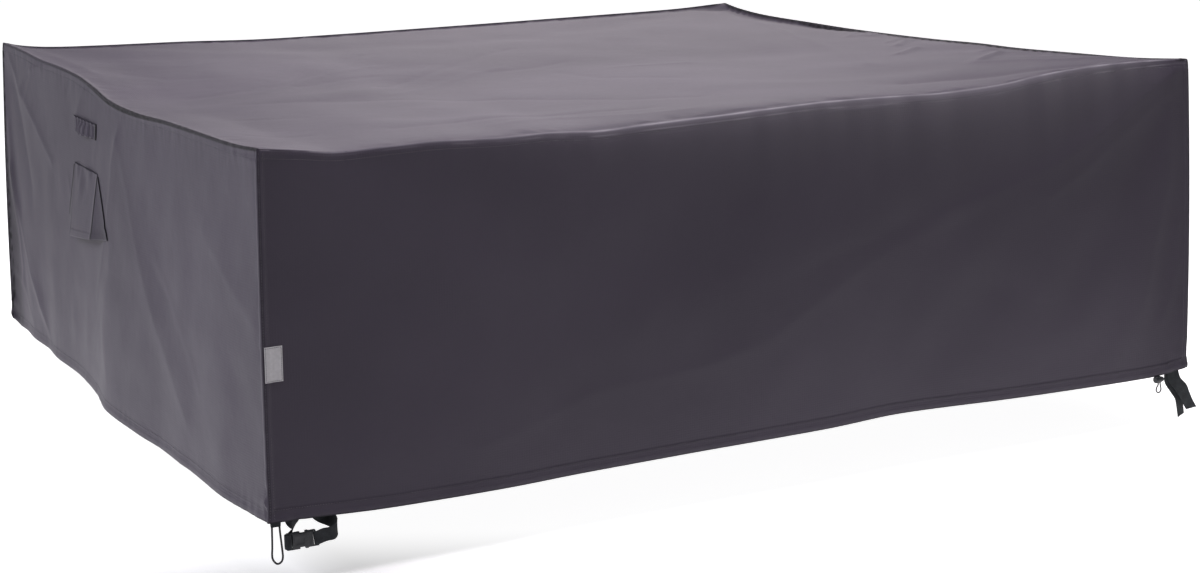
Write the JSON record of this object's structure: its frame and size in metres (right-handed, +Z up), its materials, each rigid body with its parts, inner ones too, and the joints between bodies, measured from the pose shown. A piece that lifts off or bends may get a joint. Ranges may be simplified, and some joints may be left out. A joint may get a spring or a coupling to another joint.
{
  "type": "patio furniture cover",
  "caption": "Fitted rectangular cloth cover that hangs over outdoor furniture, with a grab handle, a hooded air vent, a drawcord hem and buckled corner straps.",
  "frame": {"origin": "underside of the top panel at its centre, where the cover rests on what holds it up", "axes": "+X along the long front towards its right end, -Y out of the long front, +Z up; the end with the handle and the vent faces -X"},
  "size_m": [2.2854, 2.0477, 0.8281],
  "materials": {
    "cloth": "matt coated woven cloth",
    "webbing": "woven webbing",
    "cord": "braided cord",
    "plastic": "moulded, satin",
    "patch": "smooth soft patch"
  },
  "bodies": {
    "root": {"top_panel": "cloth", "front_panel": "cloth", "back_panel": "cloth", "left_panel": "cloth", "right_panel": "cloth", "grab_handle": "cloth", "vent_flap": "cloth", "vent_gusset_front": "cloth", "vent_gusset_back": "cloth", "corner_patch": "patch", "strap_tab": "webbing", "leg_strap": "webbing", "front_tail": "webbing", "rear_tail": "webbing", "drawcord_tab": "webbing", "buckle_socket": "plastic", "buckle_plug": "plastic", "lock_barrel": "plastic", "lock_button": "plastic", "drawcord_loop": "cord", "lock_loop": "cord"}
  },
  "joints": []
}
